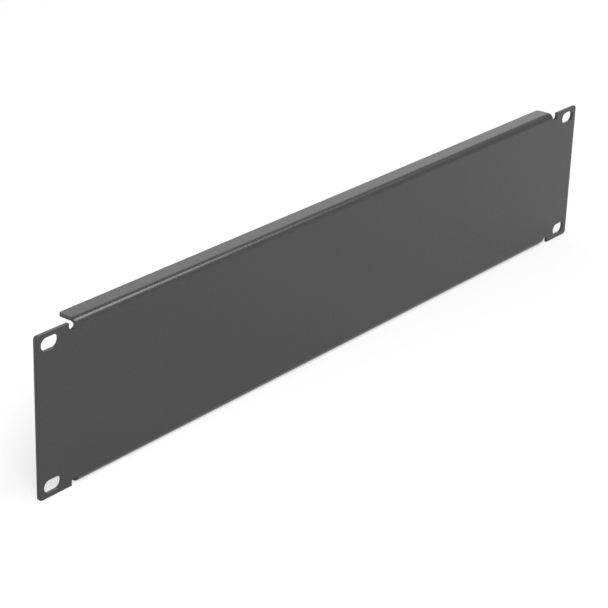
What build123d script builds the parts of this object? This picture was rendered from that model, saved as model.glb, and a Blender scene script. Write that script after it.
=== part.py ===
from build123d import *
import os

# A two-unit blanking panel for a 19 inch rack: one steel sheet, cut to outline and
# folded back along its top and bottom edges, with a slotted ear at each end.
# Lengths are in millimetres. X runs along the panel, Y from front to back and Z up.
# The origin is the middle of the four fixing slots, on the ears' back face, which
# is the face that bears on the rack's rails.

# Driving dimensions of the whole panel
panel_width = 482.6
rack_units = 2
unit_height = 44.45
stacking_gap = 0.8
sheet = 2.0

# Fixing slots: the rail's outer holes stand this far inside the units' top and bottom
rail_hole_margin = 6.35
slot_from_end = 9.5
slot_length = 12.0
slot_width = 6.8

# Ears, with their rounded corners
ear_width = 22.4
ear_corner_radius = 2.0
ear_inner_corner_radius = 0.5

# Folded body between the ears, a little taller than they are
body_over_ears = 0.35
flange_depth = 12.4
bend_inner_radius = 2.0
flange_corner_radius = 2.0

# Relief notches, which free each fold's ends from the ears
relief_width = 4.6
relief_past_bend = 0.6

# Derived places
panel_height = rack_units * unit_height - stacking_gap
slot_pitch_x = panel_width - 2 * slot_from_end
slot_pitch_z = rack_units * unit_height - 2 * rail_hole_margin
front = -sheet
flange_back = front + flange_depth
body_half_height = panel_height / 2 + body_over_ears
bend_outer_radius = bend_inner_radius + sheet
bend_start = body_half_height - bend_outer_radius
ear_inner_edge = panel_width / 2 - ear_width
relief_centre = ear_inner_edge - relief_width / 2
relief_bottom = bend_start - relief_past_bend


def both_signs():
    """The four quarters of the panel, as pairs of signs along X and Z."""
    return [(x_sign, z_sign) for x_sign in (-1, 1) for z_sign in (-1, 1)]


def fold_windows():
    """What the flat front leaves to the folds, above and below the body."""
    height = body_half_height - bend_start
    middle = bend_start + height / 2
    window = Rectangle(2 * relief_centre, height)
    return [Pos(0, z_sign * middle) * window for z_sign in (-1, 1)]


def relief_notches():
    """Round-bottomed notches that run out past the top and bottom edges."""
    reach = body_half_height - relief_bottom + relief_width
    middle = relief_bottom + reach / 2
    notch = SlotOverall(reach, relief_width, rotation=90)
    return [Pos(x_sign * relief_centre, z_sign * middle) * notch for x_sign, z_sign in both_signs()]


def fixing_slots():
    """Round-ended slots that lie along the panel, two in each ear."""
    slot = SlotOverall(slot_length, slot_width)
    return [
        Pos(x_sign * slot_pitch_x / 2, z_sign * slot_pitch_z / 2) * slot
        for x_sign, z_sign in both_signs()
    ]


def ear_inner_corners(outline):
    """The ears' corners beside the notches, on the top and bottom edges."""
    return [
        corner
        for corner in outline.vertices()
        if abs(abs(corner.X) - ear_inner_edge) < 0.01 and abs(abs(corner.Y) - panel_height / 2) < 0.01
    ]


def flat_front():
    """The front plate with its ears, notches and slots."""
    outline = RectangleRounded(panel_width, panel_height, ear_corner_radius)
    outline = outline - fold_windows() - relief_notches()
    outline = fillet(ear_inner_corners(outline), ear_inner_corner_radius)
    outline = outline - fixing_slots()
    return extrude(Plane.XZ * outline, amount=sheet)


def fold_path(offset, radius):
    """One side of the sheet round both folds, that far inside the outer side."""
    edge = body_half_height - offset
    face = front + offset
    corners = [(flange_back, edge), (face, edge), (face, -edge), (flange_back, -edge)]
    return FilletPolyline(*corners, radius=radius)


def folded_body():
    """The front and its two flanges as one folded strip, ended by the notches."""
    outer = fold_path(0, bend_outer_radius)
    inner = fold_path(sheet, bend_inner_radius)
    section = make_face([outer, Line(outer @ 1, inner @ 1), inner, Line(inner @ 0, outer @ 0)])
    body = extrude(Plane.YZ * section, amount=relief_centre, both=True)
    for notch in relief_notches():
        body = body - extrude(Plane.XZ * notch, amount=2 * flange_depth, both=True)
    back_corners = body.edges().filter_by(Axis.Z).group_by(Axis.Y)[-1]
    return fillet(back_corners, flange_corner_radius)


def blanking_panel():
    """The whole panel, one solid."""
    return flat_front() + folded_body()


os.makedirs("parts", exist_ok=True)
export_step(blanking_panel(), "parts/blanking_panel.step")
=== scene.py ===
"""A two-unit blanking panel for a 19 inch rack, dressed for the camera.

One blank of sheet steel is punched, folded back along its top and bottom edges and
powder coated. Lengths are in metres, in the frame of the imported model: X along the
panel, Y from front to back, Z up.
"""

import math

import bmesh
import bpy
from mathutils import Euler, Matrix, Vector


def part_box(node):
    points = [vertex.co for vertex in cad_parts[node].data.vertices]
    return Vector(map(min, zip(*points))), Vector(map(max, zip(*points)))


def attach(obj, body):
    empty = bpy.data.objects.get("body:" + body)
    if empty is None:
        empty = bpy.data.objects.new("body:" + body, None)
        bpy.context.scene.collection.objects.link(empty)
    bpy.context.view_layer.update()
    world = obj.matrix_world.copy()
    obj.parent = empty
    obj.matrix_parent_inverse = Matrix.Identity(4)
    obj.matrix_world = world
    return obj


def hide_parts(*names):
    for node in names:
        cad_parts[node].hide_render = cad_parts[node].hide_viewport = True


bl_info = {
    "name": "Folded Blanking Panel",
    "version": (1, 0, 0),
    "blender": (4, 5, 0),
    "location": "View3D > Sidebar > Panel",
    "description": "Makes a folded and powder coated rack blanking panel on a pale studio floor",
    "category": "Object",
}

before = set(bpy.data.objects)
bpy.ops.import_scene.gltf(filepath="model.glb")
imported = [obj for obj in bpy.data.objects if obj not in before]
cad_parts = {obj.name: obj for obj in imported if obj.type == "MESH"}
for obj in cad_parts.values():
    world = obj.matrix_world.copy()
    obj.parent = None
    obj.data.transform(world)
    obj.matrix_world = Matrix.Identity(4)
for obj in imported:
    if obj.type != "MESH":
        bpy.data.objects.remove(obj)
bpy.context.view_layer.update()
NODE = "blanking_panel"
MM = 0.001

# Straight steps that make up each rounding
EAR_CORNER_STEPS = 6
FLANGE_CORNER_STEPS = 8
NOTCH_STEPS = 24
SLOT_CORNER_STEPS = 10
EDGE_STEPS = 4
FOLD_STEPS = 14

# Only edges that turn more sharply than this are rounded
SHARP_EDGE = math.radians(50)

# Points nearer than these are one, where the blank is filled and where a fold is scored
WELD_DISTANCE = 1e-6
SCORE_DISTANCE = 1e-7

# How a point of the flat blank folds: each row has a result, its operation and what it
# works on, which is an input of the tree, a part of the point's place, an earlier
# result or a number
FOLD_RULE = (
    ("run", "ABSOLUTE", "along"),
    ("folds", "LESS_THAN", "run", "Fold's end"),
    ("reach", "ABSOLUTE", "across"),
    ("over", "SUBTRACT", "reach", "Bend start"),
    ("over the line", "MAXIMUM", "over", 0.0),
    ("past", "MULTIPLY", "over the line", "folds"),
    ("whole turn", "DIVIDE", "past", "Bend radius"),
    ("turn", "MINIMUM", "whole turn", math.pi / 2),
    ("in the bend", "MULTIPLY", "turn", "Bend radius"),
    ("beyond", "SUBTRACT", "past", "in the bend"),
    ("own radius", "ADD", "Bend radius", "out"),
    ("sine", "SINE", "turn"),
    ("rise", "MULTIPLY", "sine", "own radius"),
    ("foot", "SUBTRACT", "reach", "past"),
    ("height", "ADD", "foot", "rise"),
    ("side", "SIGN", "across"),
    ("upward", "MULTIPLY", "side", "height"),
    ("cosine", "COSINE", "turn"),
    ("swing", "MULTIPLY", "cosine", "own radius"),
    ("drop", "SUBTRACT", "Bend radius", "swing"),
    ("back", "ADD", "drop", "beyond"),
    ("depth", "ADD", "back", "Front"),
)


class PanelSizes(bpy.types.PropertyGroup):
    """Sizes of the blank and of its folds."""

    sheet: bpy.props.FloatProperty(
        name="Sheet", description="Thickness of the steel", default=2.0 * MM, unit="LENGTH"
    )
    ear_height: bpy.props.FloatProperty(
        name="Ear height", description="Height of the ears", default=88.1 * MM, unit="LENGTH"
    )
    ear_width: bpy.props.FloatProperty(
        name="Ear width",
        description="From the panel's end to the notch",
        default=22.4 * MM,
        unit="LENGTH",
    )
    ear_corner: bpy.props.FloatProperty(
        name="Ear corner",
        description="Radius of the outer corners",
        default=2.0 * MM,
        unit="LENGTH",
    )
    bend_radius: bpy.props.FloatProperty(
        name="Bend radius",
        description="Outer radius of the folds",
        default=4.0 * MM,
        unit="LENGTH",
    )
    relief_width: bpy.props.FloatProperty(
        name="Notch width",
        description="Width of the bend reliefs",
        default=4.6 * MM,
        unit="LENGTH",
    )
    relief_past_bend: bpy.props.FloatProperty(
        name="Notch past bend",
        description="From the bend's start to the notch's end",
        default=0.6 * MM,
        unit="LENGTH",
    )
    flange_corner: bpy.props.FloatProperty(
        name="Flange corner",
        description="Radius of the flanges' back corners",
        default=2.0 * MM,
        unit="LENGTH",
    )
    slot_length: bpy.props.FloatProperty(
        name="Slot length",
        description="Length of a fixing slot",
        default=12.0 * MM,
        unit="LENGTH",
    )
    slot_width: bpy.props.FloatProperty(
        name="Slot width", description="Width of a fixing slot", default=6.8 * MM, unit="LENGTH"
    )
    slot_pitch_x: bpy.props.FloatProperty(
        name="Slots apart, along",
        description="Between the slots' middles, along the panel",
        default=463.6 * MM,
        unit="LENGTH",
    )
    slot_pitch_z: bpy.props.FloatProperty(
        name="Slots apart, up",
        description="Between the slots' middles, upwards",
        default=76.2 * MM,
        unit="LENGTH",
    )
    edge_radius: bpy.props.FloatProperty(
        name="Edge radius",
        description="How far deburring and coat round an edge",
        default=0.35 * MM,
        unit="LENGTH",
    )


class PanelFinish(bpy.types.PropertyGroup):
    """Colour and grain of the powder coat."""

    coat: bpy.props.StringProperty(
        name="Coat", description="sRGB hex of the coat", default="#2C2C2C"
    )
    coat_light: bpy.props.StringProperty(
        name="Coat, lighter", description="sRGB hex of its lighter grains", default="#343434"
    )
    roughness: bpy.props.FloatProperty(
        name="Roughness",
        description="Middle roughness of the satin coat",
        default=0.24,
        min=0,
        max=1,
        subtype="FACTOR",
    )
    roughness_spread: bpy.props.FloatProperty(
        name="Roughness spread",
        description="How far the grain changes the roughness, up and down",
        default=0.04,
        min=0,
        max=1,
        subtype="FACTOR",
    )
    peel: bpy.props.FloatProperty(
        name="Orange peel",
        description="Breadth of the coat's ripples",
        default=2.2 * MM,
        unit="LENGTH",
    )
    grain: bpy.props.FloatProperty(
        name="Grain",
        description="Breadth of the powder's grain, as it is drawn",
        default=0.45 * MM,
        unit="LENGTH",
    )


class PanelStage(bpy.types.PropertyGroup):
    """Floor, room, lamps and camera."""

    floor_colour: bpy.props.StringProperty(
        name="Floor", description="sRGB hex of the paper, before its lift", default="#B4B4B4"
    )
    floor_radius: bpy.props.FloatProperty(
        name="Floor radius", description="How far the floor reaches", default=12.0, unit="LENGTH"
    )
    lift: bpy.props.FloatProperty(
        name="Lift", description="What turns the paper white for whoever looks at it", default=0.48
    )
    back_wall: bpy.props.FloatProperty(
        name="Back wall", description="Strength of the wall behind the panel", default=1.25
    )
    wall_top: bpy.props.FloatProperty(
        name="Back wall's top",
        description="How high that wall stands, seen from the panel",
        default=math.radians(50),
        subtype="ANGLE",
    )
    wall_fade: bpy.props.FloatProperty(
        name="Back wall's fade",
        description="How far its top fades, up and down",
        default=math.radians(4),
        subtype="ANGLE",
    )
    ceiling: bpy.props.FloatProperty(
        name="Ceiling", description="Strength of the ceiling", default=0.58
    )
    front_wall: bpy.props.FloatProperty(
        name="Front wall", description="Strength of the wall in front of the panel", default=1.0
    )
    front_starts: bpy.props.FloatProperty(
        name="Front wall starts",
        description="Y of the unit direction at which the front wall starts",
        default=-0.5,
    )
    front_full: bpy.props.FloatProperty(
        name="Front wall full",
        description="Y of the unit direction from which it has its full strength",
        default=-0.7,
    )
    key_place: bpy.props.FloatVectorProperty(
        name="Key lamp",
        description="Place of the large softbox",
        default=(1.355, -0.975, 2.0),
        subtype="TRANSLATION",
    )
    key_aim: bpy.props.FloatVectorProperty(
        name="Key lamp's aim",
        description="The point that it faces",
        default=(1.355, -0.975, 0.0),
        subtype="TRANSLATION",
    )
    key_size: bpy.props.FloatVectorProperty(
        name="Key lamp's size",
        description="Width and depth of the large softbox",
        default=(1.13, 1.45),
        size=2,
        unit="LENGTH",
    )
    key_power: bpy.props.FloatProperty(
        name="Key lamp's power",
        description="Power of the large softbox",
        default=41.0,
        unit="POWER",
    )
    fill_place: bpy.props.FloatVectorProperty(
        name="Fill lamp",
        description="Place of the small softbox",
        default=(-0.75, -0.45, 0.55),
        subtype="TRANSLATION",
    )
    fill_aim: bpy.props.FloatVectorProperty(
        name="Fill lamp's aim",
        description="The point that it faces, the panel's left end",
        default=(-0.24, 0.0, 0.0),
        subtype="TRANSLATION",
    )
    fill_size: bpy.props.FloatVectorProperty(
        name="Fill lamp's size",
        description="Width and depth of the small softbox",
        default=(0.6, 0.6),
        size=2,
        unit="LENGTH",
    )
    fill_power: bpy.props.FloatProperty(
        name="Fill lamp's power",
        description="Power of the small softbox",
        default=5.0,
        unit="POWER",
    )
    camera_place: bpy.props.FloatVectorProperty(
        name="Camera",
        description="Place of the camera",
        default=(-0.842332, -0.624665, 0.441354),
        subtype="TRANSLATION",
    )
    camera_turn: bpy.props.FloatVectorProperty(
        name="Camera's turn",
        description="Turn of the camera about X, Y and Z",
        default=tuple(math.radians(angle) for angle in (66.3080, -1.7642, -51.5195)),
        subtype="EULER",
    )
    camera_lens: bpy.props.FloatProperty(
        name="Lens", description="Focal length in millimetres", default=119.434, unit="CAMERA"
    )


def linear(colour):
    """A linear colour from an sRGB hex value."""
    parts = [int(colour[start : start + 2], 16) / 255 for start in (1, 3, 5)]
    return tuple(p / 12.92 if p <= 0.04045 else ((p + 0.055) / 1.055) ** 2.4 for p in parts) + (1.0,)


def add_node(tree, kind, settings=None, inputs=None):
    """Adds one node. An input is a value, or the output that feeds it."""
    node = tree.nodes.new(kind)
    for name, value in (settings or {}).items():
        setattr(node, name, value)
    for key, value in (inputs or {}).items():
        if isinstance(value, bpy.types.NodeSocket):
            tree.links.new(value, node.inputs[key])
        else:
            node.inputs[key].default_value = value
    return node


def arc(centre_x, centre_y, radius, start, end, steps):
    """Points round a corner, with the angles in degrees."""
    angles = [math.radians(start + (end - start) * k / steps) for k in range(steps + 1)]
    return [(centre_x + radius * math.cos(a), centre_y + radius * math.sin(a)) for a in angles]


class Blank:
    """The flat blank's places, as they are before the folds."""

    def __init__(self, sizes):
        low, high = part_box(NODE)
        self.front = low.y
        self.half_width = high.x
        self.half_height = sizes.ear_height / 2
        self.bend_start = high.z - sizes.bend_radius
        self.bend_length = math.pi / 2 * sizes.bend_radius
        self.edge = self.bend_start + self.bend_length + (high.y - low.y) - sizes.bend_radius
        self.ear_edge = self.half_width - sizes.ear_width
        self.notch_radius = sizes.relief_width / 2
        self.notch_middle = self.ear_edge - self.notch_radius
        self.notch_turn = self.bend_start - sizes.relief_past_bend + self.notch_radius
        self.body_end = self.notch_middle - self.notch_radius

    def in_fold(self, place, side):
        """Whether a place of the flat blank lies in the upper or the lower fold."""
        return abs(place.x) < self.notch_middle and place.y * side > self.bend_start

    def quarter(self, sizes):
        """The outline's upper right quarter, from the flange's corner to the ear's."""
        flange = sizes.flange_corner
        ear = sizes.ear_corner
        points = arc(
            self.body_end - flange, self.edge - flange, flange, 90, 0, FLANGE_CORNER_STEPS
        )
        points += arc(
            self.notch_middle, self.notch_turn, self.notch_radius, 180, 360, NOTCH_STEPS
        )
        points.append((self.ear_edge, self.half_height))
        points += arc(
            self.half_width - ear, self.half_height - ear, ear, 90, 0, EAR_CORNER_STEPS
        )
        return points

    def outline(self, sizes):
        """The whole outline, clockwise from the top."""
        right_top = self.quarter(sizes)
        right_low = [(x, -y) for x, y in reversed(right_top)]
        left_low = [(-x, -y) for x, y in right_top]
        left_top = [(-x, y) for x, y in reversed(right_top)]
        return right_top + right_low + left_low + left_top


def new_tree(name, inputs):
    """An empty Geometry Nodes tree with named inputs, and what its input node gives."""
    tree = bpy.data.node_groups.new(name, "GeometryNodeTree")
    tree.interface.new_socket(
        name="Geometry", in_out="INPUT", socket_type="NodeSocketGeometry"
    )
    for label, kind in inputs.items():
        tree.interface.new_socket(name=label, in_out="INPUT", socket_type=kind)
    tree.interface.new_socket(
        name="Geometry", in_out="OUTPUT", socket_type="NodeSocketGeometry"
    )
    return tree, tree.nodes.new("NodeGroupInput").outputs


def close_tree(tree, given, geometry):
    """Ends a tree in Realize Instances and Set Material."""
    real = add_node(tree, "GeometryNodeRealizeInstances", inputs={"Geometry": geometry})
    painted = add_node(
        tree,
        "GeometryNodeSetMaterial",
        inputs={"Geometry": real.outputs[0], "Material": given["Material"]},
    )
    add_node(tree, "NodeGroupOutput", inputs={"Geometry": painted.outputs[0]})


def punch_tree():
    """Fills the outline and punches the four slots out of it."""
    lengths = ("Slot length", "Slot width", "Slots apart, along", "Slots apart, up")
    sockets = {name: "NodeSocketFloat" for name in lengths}
    tree, given = new_tree("punch_blank", {**sockets, "Material": "NodeSocketMaterial"})
    outline = add_node(tree, "GeometryNodeMeshToCurve", inputs={"Mesh": given["Geometry"]})
    rectangle = add_node(
        tree,
        "GeometryNodeCurvePrimitiveQuadrilateral",
        inputs={"Width": given["Slot length"], "Height": given["Slot width"]},
    )
    half_width = add_node(
        tree, "ShaderNodeMath", {"operation": "MULTIPLY"}, {0: given["Slot width"], 1: 0.5}
    )
    slot = add_node(
        tree,
        "GeometryNodeFilletCurve",
        {"mode": "POLY"},
        {
            "Curve": rectangle.outputs[0],
            "Count": SLOT_CORNER_STEPS,
            "Radius": half_width.outputs[0],
            "Limit Radius": True,
        },
    )
    grid = add_node(
        tree,
        "GeometryNodeMeshGrid",
        inputs={
            "Size X": given["Slots apart, along"],
            "Size Y": given["Slots apart, up"],
            "Vertices X": 2,
            "Vertices Y": 2,
        },
    )
    slots = add_node(
        tree,
        "GeometryNodeInstanceOnPoints",
        inputs={"Points": grid.outputs[0], "Instance": slot.outputs[0]},
    )
    real = add_node(tree, "GeometryNodeRealizeInstances", inputs={"Geometry": slots.outputs[0]})
    joined = add_node(tree, "GeometryNodeJoinGeometry")
    tree.links.new(outline.outputs[0], joined.inputs[0])
    tree.links.new(real.outputs[0], joined.inputs[0])
    filled = add_node(
        tree, "GeometryNodeFillCurve", {"mode": "NGONS"}, {"Curve": joined.outputs[0]}
    )
    merged = add_node(
        tree,
        "GeometryNodeMergeByDistance",
        inputs={"Geometry": filled.outputs[0], "Distance": WELD_DISTANCE},
    )
    close_tree(tree, given, merged.outputs[0])
    return tree


def fold_tree():
    """Folds the blank back along two lines. What lies past the notches stays flat."""
    lengths = ("Front", "Bend start", "Bend radius", "Fold's end")
    sockets = {name: "NodeSocketFloat" for name in lengths}
    tree, given = new_tree("fold_blank", {**sockets, "Material": "NodeSocketMaterial"})
    place = add_node(tree, "GeometryNodeInputPosition")
    split = add_node(tree, "ShaderNodeSeparateXYZ", inputs={0: place.outputs[0]}).outputs
    found = {"along": split["X"], "across": split["Y"], "out": split["Z"]}
    found.update({name: given[name] for name in lengths})
    for result, operation, *parts in FOLD_RULE:
        values = {k: found.get(part, part) for k, part in enumerate(parts)}
        node = add_node(tree, "ShaderNodeMath", {"operation": operation}, values)
        found[result] = node.outputs[0]
    target = add_node(
        tree,
        "ShaderNodeCombineXYZ",
        inputs={"X": found["along"], "Y": found["depth"], "Z": found["upward"]},
    )
    moved = add_node(
        tree,
        "GeometryNodeSetPosition",
        inputs={"Geometry": given["Geometry"], "Position": target.outputs[0]},
    )
    close_tree(tree, given, moved.outputs[0])
    return tree


def use_tree(piece, tree, values):
    """Puts a tree on a piece and sets its inputs by their identifiers."""
    modifier = piece.modifiers.new(tree.name, "NODES")
    modifier.node_group = tree
    for item in tree.interface.items_tree:
        if item.in_out == "INPUT" and item.name in values:
            modifier[item.identifier] = values[item.name]


def make_real(piece):
    """Replaces a piece's mesh by what its modifiers make of it."""
    graph = bpy.context.evaluated_depsgraph_get()
    mesh = bpy.data.meshes.new_from_object(piece.evaluated_get(graph), depsgraph=graph)
    piece.modifiers.clear()
    piece.data = mesh
    mesh.name = piece.name


def score_fold_lines(piece, blank):
    """Cuts edges across the folds, so that they bend in even steps."""
    bm = bmesh.new()
    bm.from_mesh(piece.data)
    for side in (-1, 1):
        for k in range(FOLD_STEPS + 1):
            line = blank.bend_start + blank.bend_length * k / FOLD_STEPS
            faces = [f for f in bm.faces if k == 0 or blank.in_fold(f.calc_center_median(), side)]
            edges = {e for f in faces for e in f.edges}
            verts = {v for f in faces for v in f.verts}
            bmesh.ops.bisect_plane(
                bm,
                geom=list(faces) + list(edges) + list(verts),
                dist=SCORE_DISTANCE,
                plane_co=(0, side * line, 0),
                plane_no=(0, 1, 0),
            )
    bm.to_mesh(piece.data)
    bm.free()


def powder_coat(finish):
    """Satin powder coat on steel, sprayed and baked: an even, nearly black skin with a
    soft sheen, a slight orange peel and the fine grain of the powder."""
    material = bpy.data.materials.new("satin_powder_coat_on_steel")
    material.use_nodes = True
    tree = material.node_tree
    tree.nodes.clear()
    place = add_node(tree, "ShaderNodeTexCoord").outputs["Object"]
    peel = add_node(
        tree,
        "ShaderNodeTexNoise",
        inputs={"Vector": place, "Scale": 1 / finish.peel, "Detail": 2.0, "Roughness": 0.5},
    )
    # The real grain, about a tenth of a millimetre, is too fine to show and is drawn coarser
    grain = add_node(
        tree,
        "ShaderNodeTexNoise",
        inputs={"Vector": place, "Scale": 1 / finish.grain, "Detail": 3.0, "Roughness": 0.6},
    )
    tint = add_node(
        tree,
        "ShaderNodeMix",
        {"data_type": "RGBA"},
        {
            "Factor": grain.outputs["Fac"],
            "A": linear(finish.coat),
            "B": linear(finish.coat_light),
        },
    )
    # Nearly all of the noise lies between 0.3 and 0.7
    rough = add_node(
        tree,
        "ShaderNodeMapRange",
        inputs={
            "Value": grain.outputs["Fac"],
            "From Min": 0.3,
            "From Max": 0.7,
            "To Min": finish.roughness - finish.roughness_spread,
            "To Max": finish.roughness + finish.roughness_spread,
        },
    )
    ripple = add_node(
        tree,
        "ShaderNodeBump",
        inputs={"Height": peel.outputs["Fac"], "Strength": 0.05, "Distance": 0.4 * MM},
    )
    rub = add_node(
        tree,
        "ShaderNodeBump",
        inputs={
            "Height": grain.outputs["Fac"],
            "Strength": 0.06,
            "Distance": 0.1 * MM,
            "Normal": ripple.outputs[0],
        },
    )
    coat = add_node(
        tree,
        "ShaderNodeBsdfPrincipled",
        inputs={
            "Base Color": tint.outputs["Result"],
            "Roughness": rough.outputs["Result"],
            "IOR": 1.45,
            "Normal": rub.outputs[0],
        },
    )
    add_node(tree, "ShaderNodeOutputMaterial", inputs={"Surface": coat.outputs[0]})
    return material


class PANEL_OT_folded_sheet(bpy.types.Operator):
    """Punch, fold and coat the sheet"""

    bl_idname = "blanking_panel.folded_sheet"
    bl_label = "Folded sheet"

    def execute(self, context):
        sizes = context.scene.panel_sizes
        blank = Blank(sizes)
        coat = powder_coat(context.scene.panel_finish)
        points = blank.outline(sizes)
        ring = [(k, (k + 1) % len(points)) for k in range(len(points))]
        mesh = bpy.data.meshes.new("folded_sheet")
        mesh.from_pydata([(x, y, 0.0) for x, y in points], ring, [])
        sheet = bpy.data.objects.new("folded_sheet", mesh)
        context.scene.collection.objects.link(sheet)
        use_tree(
            sheet,
            punch_tree(),
            {
                "Slot length": sizes.slot_length,
                "Slot width": sizes.slot_width,
                "Slots apart, along": sizes.slot_pitch_x,
                "Slots apart, up": sizes.slot_pitch_z,
                "Material": coat,
            },
        )
        wall = sheet.modifiers.new("wall", "SOLIDIFY")
        wall.thickness = sizes.sheet
        wall.offset = -1
        edge = sheet.modifiers.new("edge", "BEVEL")
        edge.width = sizes.edge_radius
        edge.segments = EDGE_STEPS
        edge.limit_method = "ANGLE"
        edge.angle_limit = SHARP_EDGE
        edge.use_clamp_overlap = False
        make_real(sheet)
        score_fold_lines(sheet, blank)
        use_tree(
            sheet,
            fold_tree(),
            {
                "Front": blank.front,
                "Bend start": blank.bend_start,
                "Bend radius": sizes.bend_radius,
                "Fold's end": blank.notch_middle,
                "Material": coat,
            },
        )
        make_real(sheet)
        sheet.data.shade_smooth()
        sheet.modifiers.new("flat faces stay flat", "WEIGHTED_NORMAL").weight = 100
        make_real(sheet)
        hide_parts(NODE)
        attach(sheet, "root")
        return {"FINISHED"}


def lift_for_lookers(tree, lift):
    """Extra light for the rays that look at the floor: the camera's, and those that a
    gloss or a glass sends on."""
    path = add_node(tree, "ShaderNodeLightPath").outputs
    sent_on = add_node(
        tree,
        "ShaderNodeMath",
        {"operation": "ADD"},
        {0: path["Is Glossy Ray"], 1: path["Is Transmission Ray"]},
    )
    looks = add_node(
        tree,
        "ShaderNodeMath",
        {"operation": "ADD", "use_clamp": True},
        {0: path["Is Camera Ray"], 1: sent_on.outputs[0]},
    )
    lifted = add_node(
        tree, "ShaderNodeMath", {"operation": "MULTIPLY"}, {0: looks.outputs[0], 1: lift}
    )
    return lifted.outputs[0]


def floor_material(stage):
    """Matt paper, rolled out flat, with no gloss. It lights the panel and takes its
    shadow as a light grey, and looks white."""
    material = bpy.data.materials.new("matt_white_paper")
    material.use_nodes = True
    tree = material.node_tree
    tree.nodes.clear()
    paper = add_node(
        tree,
        "ShaderNodeBsdfDiffuse",
        inputs={"Color": linear(stage.floor_colour), "Roughness": 0.5},
    )
    glow = add_node(
        tree, "ShaderNodeEmission", inputs={"Strength": lift_for_lookers(tree, stage.lift)}
    )
    both = add_node(tree, "ShaderNodeAddShader", inputs={0: paper.outputs[0], 1: glow.outputs[0]})
    add_node(tree, "ShaderNodeOutputMaterial", inputs={"Surface": both.outputs[0]})
    return material


def studio_world(stage):
    """A room with white walls behind the panel and in front of it, and a darker ceiling."""
    world = bpy.data.worlds.new("pale_room")
    world.use_nodes = True
    tree = world.node_tree
    tree.nodes.clear()
    place = add_node(tree, "ShaderNodeTexCoord").outputs["Generated"]
    way = add_node(tree, "ShaderNodeSeparateXYZ", inputs={0: place}).outputs
    # How far up from straight back a direction is turned about the panel's length
    turn = add_node(tree, "ShaderNodeMath", {"operation": "ARCTAN2"}, {0: way["Z"], 1: way["Y"]})
    behind = add_node(
        tree,
        "ShaderNodeMapRange",
        {"interpolation_type": "SMOOTHSTEP"},
        {
            "Value": turn.outputs[0],
            "From Min": stage.wall_top - stage.wall_fade,
            "From Max": stage.wall_top + stage.wall_fade,
            "To Min": stage.back_wall,
            "To Max": stage.ceiling,
        },
    )
    whole = add_node(
        tree,
        "ShaderNodeMapRange",
        {"interpolation_type": "SMOOTHSTEP"},
        {
            "Value": way["Y"],
            "From Min": stage.front_full,
            "From Max": stage.front_starts,
            "To Min": stage.front_wall,
            "To Max": behind.outputs["Result"],
        },
    )
    light = add_node(
        tree,
        "ShaderNodeBackground",
        inputs={"Color": (1, 1, 1, 1), "Strength": whole.outputs["Result"]},
    )
    add_node(tree, "ShaderNodeOutputWorld", inputs={"Surface": light.outputs[0]})
    return world


def hang_softbox(name, place, aim, size, power):
    """Hangs a rectangular lamp that faces a point."""
    light = bpy.data.lights.new(name, "AREA")
    light.shape = "RECTANGLE"
    light.size, light.size_y = size
    light.energy = power
    lamp = bpy.data.objects.new(name, light)
    bpy.context.scene.collection.objects.link(lamp)
    lamp.location = place
    lamp.rotation_euler = (Vector(aim) - Vector(place)).to_track_quat("-Z", "Y").to_euler()


class PANEL_OT_stage(bpy.types.Operator):
    """Lay the floor, hang the lamps and set up the camera"""

    bl_idname = "blanking_panel.stage"
    bl_label = "Stage"

    def execute(self, context):
        scene = context.scene
        stage = scene.panel_stage
        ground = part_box(NODE)[0].z
        bm = bmesh.new()
        bmesh.ops.create_circle(bm, cap_ends=True, segments=64, radius=stage.floor_radius)
        bmesh.ops.translate(bm, verts=bm.verts, vec=(0, 0, ground))
        mesh = bpy.data.meshes.new("floor")
        bm.to_mesh(mesh)
        bm.free()
        mesh.materials.append(floor_material(stage))
        floor = bpy.data.objects.new("floor", mesh)
        scene.collection.objects.link(floor)
        scene.world = studio_world(stage)
        hang_softbox(
            "key_softbox", stage.key_place, stage.key_aim, stage.key_size, stage.key_power
        )
        hang_softbox(
            "fill_softbox", stage.fill_place, stage.fill_aim, stage.fill_size, stage.fill_power
        )
        camera = bpy.data.objects.new("camera", bpy.data.cameras.new("camera"))
        scene.collection.objects.link(camera)
        camera.location = stage.camera_place
        camera.rotation_euler = Euler(stage.camera_turn, "XYZ")
        camera.data.sensor_width = 36
        camera.data.lens = stage.camera_lens
        camera.data.clip_start, camera.data.clip_end = 0.01, 100
        scene.camera = camera
        scene.view_settings.view_transform = "Standard"
        return {"FINISHED"}


class PANEL_PT_pieces(bpy.types.Panel):
    """The panel's pieces and its stage"""

    bl_idname = "PANEL_PT_pieces"
    bl_label = "Blanking panel"
    bl_space_type = "VIEW_3D"
    bl_region_type = "UI"
    bl_category = "Panel"

    def draw(self, context):
        scene = context.scene
        for group in (scene.panel_sizes, scene.panel_finish, scene.panel_stage):
            for name in group.__annotations__:
                self.layout.prop(group, name)
        for operator in OPERATORS:
            self.layout.operator(operator.bl_idname)


OPERATORS = (PANEL_OT_folded_sheet, PANEL_OT_stage)
GROUPS = {"panel_sizes": PanelSizes, "panel_finish": PanelFinish, "panel_stage": PanelStage}
CLASSES = (*GROUPS.values(), *OPERATORS, PANEL_PT_pieces)


def register():
    for kind in CLASSES:
        bpy.utils.register_class(kind)
    for name, kind in GROUPS.items():
        setattr(bpy.types.Scene, name, bpy.props.PointerProperty(type=kind))


def unregister():
    for name in GROUPS:
        delattr(bpy.types.Scene, name)
    for kind in reversed(CLASSES):
        bpy.utils.unregister_class(kind)


def main():
    register()
    bpy.ops.blanking_panel.folded_sheet()
    bpy.ops.blanking_panel.stage()


if __name__ == "__main__":
    main()
